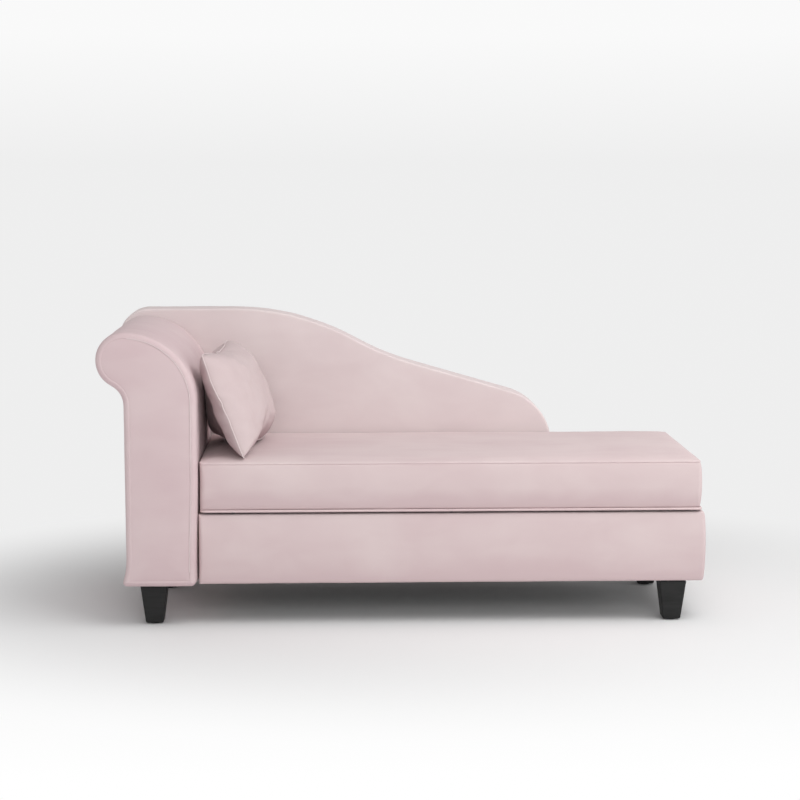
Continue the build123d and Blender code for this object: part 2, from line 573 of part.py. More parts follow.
# Pillow: leans back towards the arm with its lower edge on the seat
yaw = radians(PILLOW_YAW)
lean = radians(PILLOW_LEAN)
away = Vector(cos(yaw), -sin(yaw), 0)
normal = away * cos(lean) + Vector(0, 0, 1) * sin(lean)
along = Vector(sin(yaw), cos(yaw), 0)
above = Z_SEAT_TOP + PILLOW_HEIGHT
centre = (X_ARM_INNER + PILLOW_FROM_ARM, Y_SEAT_REAR - PILLOW_FROM_BACK, above)
leaning = Plane(origin=centre, x_dir=along, z_dir=normal)
outside = leaning * pillow_form(0)
inside = leaning * pillow_form(PILLOW_COVER)
drop = Pos(0, 0, TOUCH - outside.distance_to(seat_outside))
save("pillow_insert", drop * inside)
save("pillow_cover", drop * (outside - inside))
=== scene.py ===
# %% [markdown]
# # A velvet recamier
# The imported model gives the hard frame of this chaise: legs, boards, rails and bolts, all in metres.
# Everything soft is modelled again here, because upholstery has puffed panels, seams and a nap that
# solid blocks can't show. Loading comes first.

# %% Load the frame
import json
import math

import bmesh
import bpy
import numpy as np
from mathutils import Matrix, Vector, noise
from mathutils.geometry import delaunay_2d_cdt


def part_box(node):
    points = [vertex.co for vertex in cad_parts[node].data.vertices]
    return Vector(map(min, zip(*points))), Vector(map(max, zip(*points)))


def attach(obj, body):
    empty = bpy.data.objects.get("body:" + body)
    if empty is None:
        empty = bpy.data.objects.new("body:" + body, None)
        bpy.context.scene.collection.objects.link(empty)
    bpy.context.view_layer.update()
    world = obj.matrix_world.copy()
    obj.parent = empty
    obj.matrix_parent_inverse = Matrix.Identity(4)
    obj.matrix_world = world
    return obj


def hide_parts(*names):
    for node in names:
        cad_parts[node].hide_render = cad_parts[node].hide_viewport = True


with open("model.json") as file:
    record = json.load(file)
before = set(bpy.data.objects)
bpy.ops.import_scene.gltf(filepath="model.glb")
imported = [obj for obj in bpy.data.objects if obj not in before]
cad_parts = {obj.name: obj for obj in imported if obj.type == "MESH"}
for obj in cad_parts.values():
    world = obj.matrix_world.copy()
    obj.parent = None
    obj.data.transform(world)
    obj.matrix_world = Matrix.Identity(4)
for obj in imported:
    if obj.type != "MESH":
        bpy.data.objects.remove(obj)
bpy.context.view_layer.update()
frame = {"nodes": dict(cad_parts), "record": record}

nodes = frame["nodes"]

# %% [markdown]
# ## Helpers for soft forms
# An upholstered form is a stack of closed outlines: each ring is the same outline drawn in a little or
# moved along the depth, and faces run between neighbouring rings. A flat panel inside the last ring is
# filled with a fine net, so that it can be puffed like cloth over foam. Doing this with rings keeps the
# silhouette exact and lets a seam be a few rings that dip inwards.


# %% Points on arcs and straight runs
def arc_points(cx, cz, radius, start, end, count):
    """Points on an arc, in degrees, without the last one."""
    turns = np.radians(np.linspace(start, end, count, endpoint=False))
    return np.stack([cx + radius * np.cos(turns), cz + radius * np.sin(turns)], 1)


def line_points(a, b, count):
    """Points on a straight run, without the last one."""
    steps = np.linspace(0, 1, count, endpoint=False)[:, None]
    return np.asarray(a) + steps * (np.asarray(b) - np.asarray(a))


def at_depth(outline, y):
    """An outline in X and Z as points at one depth."""
    return [(x, y, z) for x, z in outline]


print("a quarter circle in", len(arc_points(0, 0, 1, 0, 90, 9)), "points")

# %% Distance from an outline's edge
TINY = 1e-12


def edge_distance(points, outline):
    """Distance of each point inside a closed outline from its edge; negative outside."""
    nearest = np.full(len(points), np.inf)
    inside = np.zeros(len(points), bool)
    for start, stop in zip(outline, np.roll(outline, -1, 0)):
        span = stop - start
        offset = points - start
        share = np.clip((offset @ span) / max(span @ span, TINY), 0, 1)
        nearest = np.minimum(nearest, np.linalg.norm(offset - share[:, None] * span, axis=1))
        crosses = (start[1] > points[:, 1]) != (stop[1] > points[:, 1])
        rise = span[1] if abs(span[1]) > TINY else TINY
        inside ^= crosses & (points[:, 0] < start[0] + offset[:, 1] * span[0] / rise)
    return np.where(inside, nearest, -nearest)


unit_square = np.array([(0.0, 0.0), (1.0, 0.0), (1.0, 1.0), (0.0, 1.0)])
print("a unit square's middle lies", edge_distance(np.array([(0.5, 0.5)]), unit_square)[0], "from its edge")

# %% Rings, panels and finished pieces
# A net's points keep clear of its edge by this share of their spacing
EDGE_CLEAR = 0.55
INSIDE_ONLY, NET_MERGE, WELD = 1, 1e-7, 1e-6
BROAD_RIPPLE, FINE_RIPPLE = 9, 23


class SoftMesh:
    """Collects rings and panels and turns them into one smooth object."""

    def __init__(self):
        self.verts = []
        self.faces = []

    def add_ring(self, points):
        """Add a closed ring and return the numbers of its points."""
        first = len(self.verts)
        self.verts.extend(tuple(map(float, p)) for p in points)
        return list(range(first, first + len(points)))

    def bridge(self, ring_a, ring_b):
        """Faces between two rings that have as many points."""
        count = len(ring_a)
        for i in range(count):
            j = (i + 1) % count
            self.faces.append((ring_a[i], ring_a[j], ring_b[j], ring_b[i]))

    def stack(self, rings):
        """Add rings in order and bridge each to the next."""
        made = [self.add_ring(points) for points in rings]
        for ring_a, ring_b in zip(made, made[1:]):
            self.bridge(ring_a, ring_b)
        return made

    def fill(self, ring, outline, place, spacing, flip=False):
        """Fill the ring with a net; place makes a point of its plane values and edge distance."""
        low, high = outline.min(0), outline.max(0)
        xs = np.arange(low[0] + spacing / 2, high[0], spacing)
        zs = np.arange(low[1] + spacing / 2, high[1], spacing)
        grid = np.stack(np.meshgrid(xs, zs), -1).reshape(-1, 2)
        inside = grid[edge_distance(grid, outline) > spacing * EDGE_CLEAR]
        count = len(outline)
        flat = [Vector(p) for p in np.vstack([outline, inside])]
        edges = [(i, (i + 1) % count) for i in range(count)]
        net = delaunay_2d_cdt(flat, edges, [], INSIDE_ONLY, NET_MERGE)
        points, triangles, sources = net[0], net[2], net[3]
        depths = edge_distance(np.array([tuple(p) for p in points]), outline)
        known = []
        for point, depth, source in zip(points, depths, sources):
            rim = [s for s in source if s < count]
            if rim:
                known.append(ring[rim[0]])
            else:
                self.verts.append(tuple(place(point[0], point[1], max(depth, 0.0))))
                known.append(len(self.verts) - 1)
        for triangle in triangles:
            loop = [known[i] for i in triangle]
            self.faces.append(tuple(reversed(loop)) if flip else tuple(loop))

    def finish(self, name, material, levels=1, ripple=0.0, seed=0.0):
        """Make the object, with a slight hand-made unevenness."""
        mesh = bpy.data.meshes.new(name)
        mesh.from_pydata(self.verts, [], self.faces)
        work = bmesh.new()
        work.from_mesh(mesh)
        bmesh.ops.remove_doubles(work, verts=work.verts, dist=WELD)
        bmesh.ops.recalc_face_normals(work, faces=work.faces)
        work.normal_update()
        if ripple:
            for v in work.verts:
                shift = noise.noise(v.co * BROAD_RIPPLE + Vector((seed, seed, seed)))
                shift += 0.5 * noise.noise(v.co * FINE_RIPPLE + Vector((seed, 0, -seed)))
                v.co += v.normal * (ripple * shift)
        work.to_mesh(mesh)
        work.free()
        for polygon in mesh.polygons:
            polygon.use_smooth = True
        piece = bpy.data.objects.new(name, mesh)
        bpy.context.scene.collection.objects.link(piece)
        mesh.materials.append(material)
        if levels:
            smooth = piece.modifiers.new("smooth", "SUBSURF")
            smooth.levels = smooth.render_levels = levels
        print("made", name, len(mesh.vertices), "points")
        return piece


print("soft pieces are welded at", WELD, "m")

# %% [markdown]
# ## Velvet
# The whole piece wears one short-pile velvet in a dusty rose. Velvet is brighter where it is seen edge
# on, which the shader's sheen does, and it shows cloudy patches where the pile leans another way. The
# cloudiness, the fine pile and its height are one node group, so that every velvet piece shares them.
# Where the cloth faces down, its colour is darkened towards the deeper rose as painted shade.


# %% Node helpers
def new_group(name, inputs, outputs):
    """A shader node group with named value and colour sockets."""
    group = bpy.data.node_groups.new(name, "ShaderNodeTree")
    for label, kind, default in inputs:
        socket = group.interface.new_socket(label, in_out="INPUT", socket_type=kind)
        socket.default_value = default
    for label, kind in outputs:
        group.interface.new_socket(label, in_out="OUTPUT", socket_type=kind)
    return group, group.nodes.new("NodeGroupInput"), group.nodes.new("NodeGroupOutput")


def object_place(tree):
    """Where a point lies, in the object's own metres."""
    return tree.nodes.new("ShaderNodeTexCoord").outputs["Object"]


def stretched(tree, vector, scale, shift=(0.0, 0.0, 0.0)):
    """A place scaled and shifted, which stretches the pattern that it feeds."""
    node = tree.nodes.new("ShaderNodeMapping")
    node.inputs["Scale"].default_value = scale
    node.inputs["Location"].default_value = shift
    tree.links.new(vector, node.inputs["Vector"])
    return node.outputs["Vector"]


def split_xyz(tree, vector):
    """The X, Y and Z sockets of a vector."""
    node = tree.nodes.new("ShaderNodeSeparateXYZ")
    tree.links.new(vector, node.inputs[0])
    return node.outputs


def add_noise(tree, vector, scale, detail=3.0, rough=0.5, warp=0.0):
    """Smooth noise; the scale is in waves per metre."""
    node = tree.nodes.new("ShaderNodeTexNoise")
    node.inputs["Scale"].default_value = scale
    node.inputs["Detail"].default_value = detail
    node.inputs["Roughness"].default_value = rough
    node.inputs["Distortion"].default_value = warp
    tree.links.new(vector, node.inputs["Vector"])
    return node.outputs["Fac"]


def add_math(tree, kind, a, b):
    """A sum, product or the like of two sockets or numbers."""
    node = tree.nodes.new("ShaderNodeMath")
    node.operation = kind
    for socket, value in zip(node.inputs, (a, b)):
        if isinstance(value, (int, float)):
            socket.default_value = value
        else:
            tree.links.new(value, socket)
    return node.outputs[0]


def weighted(tree, a, share, b):
    """Two values added: the first by its share, the second by the rest."""
    return add_math(tree, "ADD", add_math(tree, "MULTIPLY", a, share),
                    add_math(tree, "MULTIPLY", b, 1 - share))


def add_range(tree, value, low, high, to_low, to_high, smooth=False):
    """A value taken from one range to another and kept inside it."""
    node = tree.nodes.new("ShaderNodeMapRange")
    node.interpolation_type = "SMOOTHSTEP" if smooth else "LINEAR"
    node.inputs["From Min"].default_value = low
    node.inputs["From Max"].default_value = high
    node.inputs["To Min"].default_value = to_low
    node.inputs["To Max"].default_value = to_high
    tree.links.new(value, node.inputs["Value"])
    return node.outputs["Result"]


def add_mix(tree, factor, a, b):
    """Two colours mixed by a factor."""
    node = tree.nodes.new("ShaderNodeMix")
    node.data_type = "RGBA"
    tree.links.new(factor, node.inputs["Factor"])
    for socket, value in ((node.inputs["A"], a), (node.inputs["B"], b)):
        if isinstance(value, tuple):
            socket.default_value = value
        else:
            tree.links.new(value, socket)
    return node.outputs["Result"]


print("node helpers ready")

# %% Nap group, with painted shade where the cloth faces down
COLOUR = "NodeSocketColor"
VALUE = "NodeSocketFloat"
SURFACE = [("Colour", COLOUR), ("Roughness", VALUE), ("Height", VALUE)]

nap_and_shade_group, nap_in, nap_out = new_group(
    "velvet_nap_and_shade",
    [("Lit pile", COLOUR, (0.6, 0.46, 0.46, 1)), ("Turned pile and painted shade", COLOUR, (0.5, 0.36, 0.37, 1)),
     ("Patch", VALUE, 1.0), ("Painted shade below", VALUE, 1.0), ("Painted shade slope", VALUE, -0.12)],
    SURFACE,
)
spot = object_place(nap_and_shade_group)
brushed = stretched(nap_and_shade_group, spot, scale=(5.0, 16.0, 13.0))
clouds = add_noise(nap_and_shade_group, spot, scale=3.2, detail=3.0, rough=0.55, warp=0.4)
strokes = add_noise(nap_and_shade_group, brushed, scale=1.0, detail=2.0, rough=0.6, warp=0.6)
pile = add_noise(nap_and_shade_group, spot, scale=900.0, detail=2.0, rough=0.7)
grain = add_noise(nap_and_shade_group, spot, scale=260.0, detail=2.0, rough=0.6)
patch_and_shade = add_range(nap_and_shade_group, weighted(nap_and_shade_group, clouds, 0.6, strokes), 0.38, 0.64, 0.0, 1.0)
patch_and_shade = add_math(nap_and_shade_group, "MULTIPLY", patch_and_shade, nap_in.outputs["Patch"])
# Painted shade: cloth that faces down is darkened, counted from just below level to the given slope
normal = nap_and_shade_group.nodes.new("ShaderNodeNewGeometry").outputs["Normal"]
painted_shade_mask = add_range(nap_and_shade_group, split_xyz(nap_and_shade_group, normal)["Z"], -0.01, -0.12, 0.0, 1.0)
nap_and_shade_group.links.new(nap_in.outputs["Painted shade slope"], painted_shade_mask.node.inputs["From Max"])
painted_shade_mask = add_math(nap_and_shade_group, "MULTIPLY", painted_shade_mask, nap_in.outputs["Painted shade below"])
# The painted shade is added to the random nap patches, so both turn the colour deeper
patch_and_shade = add_math(nap_and_shade_group, "ADD", patch_and_shade, painted_shade_mask)
speck = add_math(nap_and_shade_group, "MULTIPLY", add_math(nap_and_shade_group, "SUBTRACT", pile, 0.5), 0.5)
turned_and_shaded = nap_and_shade_group.nodes.new("ShaderNodeClamp")
nap_and_shade_group.links.new(add_math(nap_and_shade_group, "ADD", patch_and_shade, speck), turned_and_shaded.inputs["Value"])
tone = add_mix(nap_and_shade_group, turned_and_shaded.outputs["Result"],
               nap_in.outputs["Lit pile"], nap_in.outputs["Turned pile and painted shade"])
nap_and_shade_group.links.new(tone, nap_out.inputs["Colour"])
nap_and_shade_group.links.new(add_range(nap_and_shade_group, clouds, 0.3, 0.7, 0.78, 0.94), nap_out.inputs["Roughness"])
nap_and_shade_group.links.new(weighted(nap_and_shade_group, pile, 0.6, grain), nap_out.inputs["Height"])
print("nap group has", len(nap_and_shade_group.nodes), "nodes")


# %% Velvet materials
def new_material(name):
    """A material with its node tree and its Principled shader."""
    material = bpy.data.materials.new(name)
    material.use_nodes = True
    return material, material.node_tree, material.node_tree.nodes["Principled BSDF"]


def bump_from(tree, shader, height, strength, distance):
    """Let a height raise the surface, in metres."""
    bump = tree.nodes.new("ShaderNodeBump")
    bump.inputs["Strength"].default_value = strength
    bump.inputs["Distance"].default_value = distance
    tree.links.new(height, bump.inputs["Height"])
    tree.links.new(bump.outputs["Normal"], shader.inputs["Normal"])


def place_group(tree, shader, group, values, strength, distance):
    """Put a surface group into a material, with its own values."""
    node = tree.nodes.new("ShaderNodeGroup")
    node.node_tree = group
    for label, value in values.items():
        node.inputs[label].default_value = value
    tree.links.new(node.outputs["Colour"], shader.inputs["Base Color"])
    tree.links.new(node.outputs["Roughness"], shader.inputs["Roughness"])
    bump_from(tree, shader, node.outputs["Height"], strength, distance)


def velvet_material(name, lit, turned_and_shade_tone, patch_amount, painted_shade_amount=0.8, slope=-0.12):
    """Short-pile velvet: cloudy nap, fine pile, a rosy sheen and painted shade where it faces down."""
    material, tree, shader = new_material(name)
    values = {"Lit pile": (*lit, 1), "Turned pile and painted shade": (*turned_and_shade_tone, 1), "Patch": patch_amount,
              "Painted shade below": painted_shade_amount, "Painted shade slope": slope}
    place_group(tree, shader, nap_and_shade_group, values, strength=0.25, distance=0.0006)
    shader.inputs["Specular IOR Level"].default_value = 0.15
    shader.inputs["Sheen Weight"].default_value = 0.10
    shader.inputs["Sheen Roughness"].default_value = 0.42
    shader.inputs["Sheen Tint"].default_value = (1.0, 0.9, 0.91, 1)
    return material


velvet = velvet_material("rose_velvet", (0.668, 0.555, 0.553), (0.600, 0.468, 0.478), 0.65)
velvet_seam = velvet_material("rose_velvet_seam", (0.66, 0.53, 0.53), (0.60, 0.46, 0.47), 0.5)
# Lighter and darker copies of the velvet paint light and shade: the seat is a little deeper as painted
# shade, the back and the seam cords are paler as painted light, and the arm is deeper as painted shade.
# The loose pillow is darker still, with strong painted shade underneath.
velvet_seat_shaded = velvet_material("rose_velvet_seat_shaded", (0.655, 0.542, 0.540), (0.588, 0.458, 0.468), 0.65)
velvet_painted_light = velvet_material("rose_velvet_painted_light", (0.712, 0.622, 0.618), (0.650, 0.545, 0.550), 0.65, 0.4)
velvet_arm_shaded = velvet_material("rose_velvet_arm_shaded", (0.640, 0.515, 0.522), (0.590, 0.452, 0.468), 0.8)
velvet_pillow_shaded = velvet_material("rose_velvet_pillow_shaded", (0.600, 0.495, 0.495), (0.430, 0.312, 0.326),
                                0.22, painted_shade_amount=1.0, slope=-0.75)
print("velvet ready")

# %% [markdown]
# ## Scroll arm
# The arm is foam over a boxed core, wrapped in one band of velvet and closed in front by a facing that
# is sewn in just inside the rim. Its outline is a few tangent arcs: upright inner face, big shoulder,
# roll, waist and a slightly flared foot. The rings repeat that outline, so the roll stays true.

# %% Arm outline
arm_low, arm_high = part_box("arm_cover")
ARM_WIDTH = 0.193
ARM_INNER = arm_high.x
ARM_OUTER = ARM_INNER - ARM_WIDTH
ARM_FRONT = arm_low.y
ARM_REAR = arm_high.y
UNDERSIDE = arm_low.z
SHOULDER = 0.190
ARM_ROLL = 0.076
NECK = 0.058
FLARE_HEIGHT, FLARE_OUT = 0.080, 0.014
FLARE_RADIUS = (FLARE_HEIGHT ** 2 + FLARE_OUT ** 2) / (2 * FLARE_OUT)
FOOT_CORNER, LEAST_CORNER = 0.012, 0.0015
TAPER, TAPER_TOP, TAPER_DEPTH = 0.008, 0.450, 0.090
# How many points the runs of the inner side have
FOOT_RUN, SIDE_RUN, SHOULDER_RUN = 5, 42, 28
INNER_POINTS = FOOT_RUN + SIDE_RUN + SHOULDER_RUN


def foot_corner(inset):
    """The radius of a foot's corner, on an outline drawn in by the inset."""
    return max(FOOT_CORNER - inset, LEAST_CORNER)


def scroll_outline(x_roll, z_roll, radius, inset):
    """The left-hand run: round the roll, into the waist, down the side and round the foot's corner."""
    neck_x = ARM_OUTER - NECK
    drop = math.sqrt((radius + NECK) ** 2 - (x_roll - neck_x) ** 2)
    turn = math.degrees(math.atan2(drop, x_roll - neck_x))
    neck_z = z_roll - drop
    flare_z = UNDERSIDE + FLARE_HEIGHT
    flare_x = ARM_OUTER - FLARE_RADIUS
    corner = foot_corner(inset)
    reach = FLARE_RADIUS + inset
    low_turn = math.degrees(math.asin((flare_z - UNDERSIDE - inset - corner) / reach))
    foot_x = flare_x + reach * math.cos(math.radians(low_turn))
    return [
        arc_points(x_roll, z_roll, radius - inset, 90, 180 + turn, 26),
        arc_points(neck_x, neck_z, NECK + inset, turn, 0, 7),
        line_points((ARM_OUTER + inset, neck_z), (ARM_OUTER + inset, flare_z), 34),
        arc_points(flare_x, flare_z, reach, 0, -low_turn, 6),
        arc_points(foot_x + corner, UNDERSIDE + inset + corner, corner, 180, 270, FOOT_RUN),
    ], foot_x + corner


def arm_outline(inset, taper=TAPER):
    """The arm seen from the front, drawn in by the inset."""
    x_roll = arm_low.x + ARM_ROLL
    z_arc = arm_high.z - SHOULDER
    inner = ARM_INNER - inset
    corner = foot_corner(inset)
    left, foot_x = scroll_outline(x_roll, arm_high.z - ARM_ROLL, ARM_ROLL, inset)
    low = UNDERSIDE + inset
    outline = np.vstack([
        arc_points(inner - corner, low + corner, corner, -90, 0, FOOT_RUN),
        line_points((inner, low + corner), (inner, z_arc), SIDE_RUN),
        arc_points(x_roll, z_arc, SHOULDER - inset, 0, 90, SHOULDER_RUN),
        *left,
        line_points((foot_x, low), (inner - corner, low), 14),
    ])
    # The padding thins towards the floor on the inner side, near the front
    drop = np.clip((TAPER_TOP - outline[:, 1]) / (TAPER_TOP - UNDERSIDE), 0, 1)
    side = np.clip((outline[:, 0] - ARM_OUTER) / (ARM_INNER - ARM_OUTER), 0, 1)
    outline[:, 0] -= taper * side * drop * drop * (3 - 2 * drop)
    return outline


print("arm outline has", len(arm_outline(0.0)), "points")

# %% Arm upholstery
RIM = 0.014
RIM_FRONT = ARM_FRONT + 0.0015
# The facing's seam, from the rim inwards: the inset of each ring, and how far it dips
FACING_SEAM = ((0.0150, 0.0002), (0.0158, 0.0014), (0.0166, 0.0015), (0.0178, 0.0004))
FACING_INSET, FACING_DIP = FACING_SEAM[-1]
FACING_PUFF, PUFF_REACH = 0.0030, 0.03
# The seam is pulled tight on the inner side and eases out round the roll
EASED, EASE_RUN = 0.3, 0.10


def seam_depth(x):
    """The share of the seam's dip at one place across the arm."""
    return EASED + (1 - EASED) * min(max((x - ARM_OUTER) / EASE_RUN, 0.0), 1.0)


def facing_place(x, z, d):
    """The facing puffs out a little inside its seam."""
    return x, RIM_FRONT + FACING_DIP * seam_depth(x) - FACING_PUFF * (1 - math.exp(-d / PUFF_REACH)), z


def arm_rear_place(x, z, d):
    """The rear is flat."""
    return x, ARM_REAR, z


arm_rings = []
for y in np.linspace(ARM_REAR, RIM_FRONT + RIM, 22):
    near_front = min(max(1 - (y - RIM_FRONT - RIM) / TAPER_DEPTH, 0.0), 1.0)
    arm_rings.append(at_depth(arm_outline(0.0, TAPER * near_front), y))
for turn in np.radians(np.linspace(15, 90, 6)):
    rim_outline = arm_outline(RIM * (1 - math.cos(turn)))
    arm_rings.append(at_depth(rim_outline, RIM_FRONT + RIM * (1 - math.sin(turn))))
for inset, dip in FACING_SEAM:
    arm_rings.append([(x, RIM_FRONT + dip * seam_depth(x), z) for x, z in arm_outline(inset)])
arm_mesh = SoftMesh()
arm_made = arm_mesh.stack(arm_rings)
arm_mesh.fill(arm_made[-1], arm_outline(FACING_INSET), facing_place, spacing=0.011)
arm_mesh.fill(arm_made[0], arm_outline(0.0, 0.0), arm_rear_place, spacing=0.030, flip=True)
# The arm wears the deeper velvet copy, as painted shade.
arm_piece = arm_mesh.finish("arm_upholstery", velvet_arm_shaded, ripple=0.0007, seed=3.1)
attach(arm_piece, "base")
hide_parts("arm_cover", "arm_facing", "arm_padding")


# %% Seam cord on the arm's inner side, paler as a painted highlight
def tube_along(points, radius, name, material, sides=10, closed=True):
    """A round cord along points; each section carries on from the one before, so the cord never twists."""
    path = [Vector(p) for p in points]
    count = len(path)
    mesh = SoftMesh()
    rings = []
    side = (path[1] - path[0]).orthogonal()
    for i, p in enumerate(path):
        ahead = path[(i + 1) % count] if closed or i + 1 < count else p
        behind = path[i - 1] if closed or i else p
        tangent = (ahead - behind).normalized()
        side = (side - tangent * side.dot(tangent)).normalized()
        up = side.cross(tangent)
        turns = [2 * math.pi * k / sides for k in range(sides)]
        rings.append(mesh.add_ring([p + (side * math.cos(a) + up * math.sin(a)) * radius for a in turns]))
    for i in range(count if closed else count - 1):
        mesh.bridge(rings[i], rings[(i + 1) % count])
    return mesh.finish(name, material, levels=0)


SEAM_INSET, SEAM_DIP, SEAM_RADIUS = 0.0158, 0.0004, 0.0012
inner_run = [p for p in arm_outline(SEAM_INSET)[:INNER_POINTS] if p[1] > UNDERSIDE + 2 * SEAM_INSET]
seam_path = at_depth(inner_run, RIM_FRONT + SEAM_DIP)
arm_seam = tube_along(seam_path, SEAM_RADIUS, "arm_facing_seam", velvet_painted_light, sides=6, closed=False)
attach(arm_seam, "base")

# %% [markdown]
# ## Back
# The back is one padded panel. Its top edge is a soft roll that falls in an S from the crest to a round
# nose, and its rear is closed by a flat piece of the same velvet, sewn round the rim. The front is
# puffed only a little, because the seat has to pass it when it is lifted.

# %% Back outline
seat_low, seat_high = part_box("seat_cover")
back_low, back_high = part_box("back_cover")
STEEP, SHALLOW = 28.8, 16.3
CREST, DIP, NOSE, BACK_ROLL = 0.750, 0.845, 0.170, 0.085
CREST_REACH = 0.064


def back_outline(inset):
    """Foot, nose, falling S, crest and the scroll on the left, drawn in by the inset."""
    steep, shallow = math.radians(STEEP), math.radians(SHALLOW)
    top, tip = back_high.z, back_high.x
    crest_x = seat_low.x + CREST_REACH
    roll_x = back_low.x + BACK_ROLL
    # The crest's arc meets the dip's where the S is steepest
    steep_x = crest_x + CREST * math.sin(steep)
    steep_z = top - CREST + CREST * math.cos(steep)
    dip_x = steep_x + DIP * math.sin(steep)
    dip_z = steep_z + DIP * math.cos(steep)
    # The dip runs out into a straight line that touches the nose
    shallow_x = dip_x - DIP * math.sin(shallow)
    shallow_z = dip_z - DIP * math.cos(shallow)
    nose_x = tip - NOSE
    touch_x = nose_x + NOSE * math.sin(shallow)
    nose_z = shallow_z - math.tan(shallow) * (touch_x - shallow_x) - NOSE * math.cos(shallow)
    nose_r = NOSE - inset
    nose_end = (nose_x + nose_r * math.sin(shallow), nose_z + nose_r * math.cos(shallow))
    low, corner = UNDERSIDE + inset, foot_corner(inset)
    left, foot_x = scroll_outline(roll_x, top - BACK_ROLL, BACK_ROLL, inset)
    dip = arc_points(dip_x, dip_z, DIP + inset, 270 - SHALLOW, 270 - STEEP, 20)
    return np.vstack([
        arc_points(tip - inset - corner, low + corner, corner, -90, 0, FOOT_RUN),
        line_points((tip - inset, low + corner), (tip - inset, nose_z), 24),
        arc_points(nose_x, nose_z, nose_r, 0, 90 - SHALLOW, 22),
        line_points(nose_end, dip[0], 24),
        dip,
        arc_points(crest_x, top - CREST, CREST - inset, 90 - STEEP, 90, 28),
        line_points((crest_x, top - inset), (roll_x, top - inset), 20),
        *left,
        line_points((foot_x, low), (tip - inset - corner, low), 70),
    ])


print("back outline has", len(back_outline(0.0)), "points")

# %% Back upholstery
BACK_FRONT = back_low.y + 0.0005
BACK_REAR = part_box("back_rear_cover")[1].y
# The rear seam, from the closing piece outwards: the inset of each ring, and its distance from the rear
REAR_SEAM = ((0.0090, 0.0002), (0.0080, 0.0010), (0.0070, 0.0010), (0.0060, 0.0002), (0.0030, 0.0012),
             (0.0008, 0.0040), (0.0, 0.0080))
SOFT_IN, SOFT_DEEP, EDGE_BACK = 0.006, 0.008, 0.0015


def back_place(x, z, d):
    """The front comes forward a little inside its edge."""
    return x, BACK_FRONT + EDGE_BACK * math.exp(-d / 0.05), z


def back_rear_place(x, z, d):
    """The rear is flat, and drawn in a little at its seam."""
    return x, BACK_REAR - 0.0004 * math.exp(-d / 0.03), z


back_rings = [at_depth(back_outline(inset), BACK_REAR - deep) for inset, deep in REAR_SEAM]
for y in np.linspace(BACK_REAR - 0.018, BACK_FRONT + SOFT_DEEP + 0.004, 5):
    back_rings.append(at_depth(back_outline(0.0), y))
for turn in np.radians(np.linspace(8, 90, 9)):
    soft_outline = back_outline(SOFT_IN * (1 - math.cos(turn)))
    back_rings.append(at_depth(soft_outline, BACK_FRONT + EDGE_BACK + SOFT_DEEP * (1 - math.sin(turn))))
back_mesh = SoftMesh()
back_made = back_mesh.stack(back_rings)
back_mesh.fill(back_made[-1], back_outline(SOFT_IN), back_place, spacing=0.014)
back_mesh.fill(back_made[0], back_outline(REAR_SEAM[0][0]), back_rear_place, spacing=0.022, flip=True)
# The back wears the paler velvet copy, as painted light.
back_piece = back_mesh.finish("back_upholstery", velvet_painted_light, ripple=0.0009, seed=7.7)
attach(back_piece, "base")
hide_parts("back_cover", "back_rear_cover", "back_padding")

# %% [markdown]
# ## Boxed seat
# The seat is a long block: a top panel sewn to an upright boxing just below the edge, with a welt along
# the lower edge. Rings of a rounded rectangle climb the boxing, dip for the seam and close over the
# crowned top. A real boxing bulges a little between its two seams, and so does this one.

# %% Rounded rectangle rings
LONG_RUN, SHORT_RUN, CORNER_RUN = 120, 48, 6


def box_outline(x0, x1, y0, y1, radius, inset):
    """A rounded rectangle in X and Y, drawn in by the inset."""
    x0, x1, y0, y1 = x0 + inset, x1 - inset, y0 + inset, y1 - inset
    r = min(max(radius - inset, 0.002), (y1 - y0) / 2 - 1e-4)
    return np.vstack([
        line_points((x0 + r, y0), (x1 - r, y0), LONG_RUN),
        arc_points(x1 - r, y0 + r, r, -90, 0, CORNER_RUN),
        line_points((x1, y0 + r), (x1, y1 - r), SHORT_RUN),
        arc_points(x1 - r, y1 - r, r, 0, 90, CORNER_RUN),
        line_points((x1 - r, y1), (x0 + r, y1), LONG_RUN),
        arc_points(x0 + r, y1 - r, r, 90, 180, CORNER_RUN),
        line_points((x0, y1 - r), (x0, y0 + r), SHORT_RUN),
        arc_points(x0 + r, y0 + r, r, 180, 270, CORNER_RUN),
    ])


def at_height(outline, z):
    """An outline in X and Y as points at one height."""
    return [(x, y, z) for x, y in outline]


def bulged(share, depth, power):
    """How far a bulging boxing is drawn in at a share of its height."""
    return depth * (1 - math.sin(math.pi * share) ** power)


print("a rounded rectangle has", 2 * (LONG_RUN + SHORT_RUN) + 4 * CORNER_RUN, "points")

# %% Seat upholstery
SEAT_CORNER, SEAT_BULGE = 0.016, 0.0060
HEM_INSET, HEM_DROP, SEAM_DROP = 0.010, 0.002, 0.0185
# The upper seam and the edge above it: the inset of each ring, and its height from the seam
SEAT_SEAM = ((0.0060, -0.0004), (0.0074, 0.0006), (0.0062, 0.0016), (0.0056, 0.0032), (0.0068, 0.0058),
             (0.0100, 0.0082))
TOP_INSET, TOP_RISE = SEAT_SEAM[-1]
hem_z, seam_z, top_z = seat_low.z, seat_high.z - SEAM_DROP, seat_high.z


def seat_outline(inset):
    """The seat in plan, drawn in on all sides but the one against the arm."""
    return box_outline(seat_low.x - inset, seat_high.x, seat_low.y, seat_high.y, SEAT_CORNER, inset)


def seat_place(x, y, d):
    """The top is crowned: it rises quickly from its edge and then levels out."""
    return x, y, seam_z + TOP_RISE + (top_z - seam_z - TOP_RISE) * (1 - math.exp(-d / 0.03))


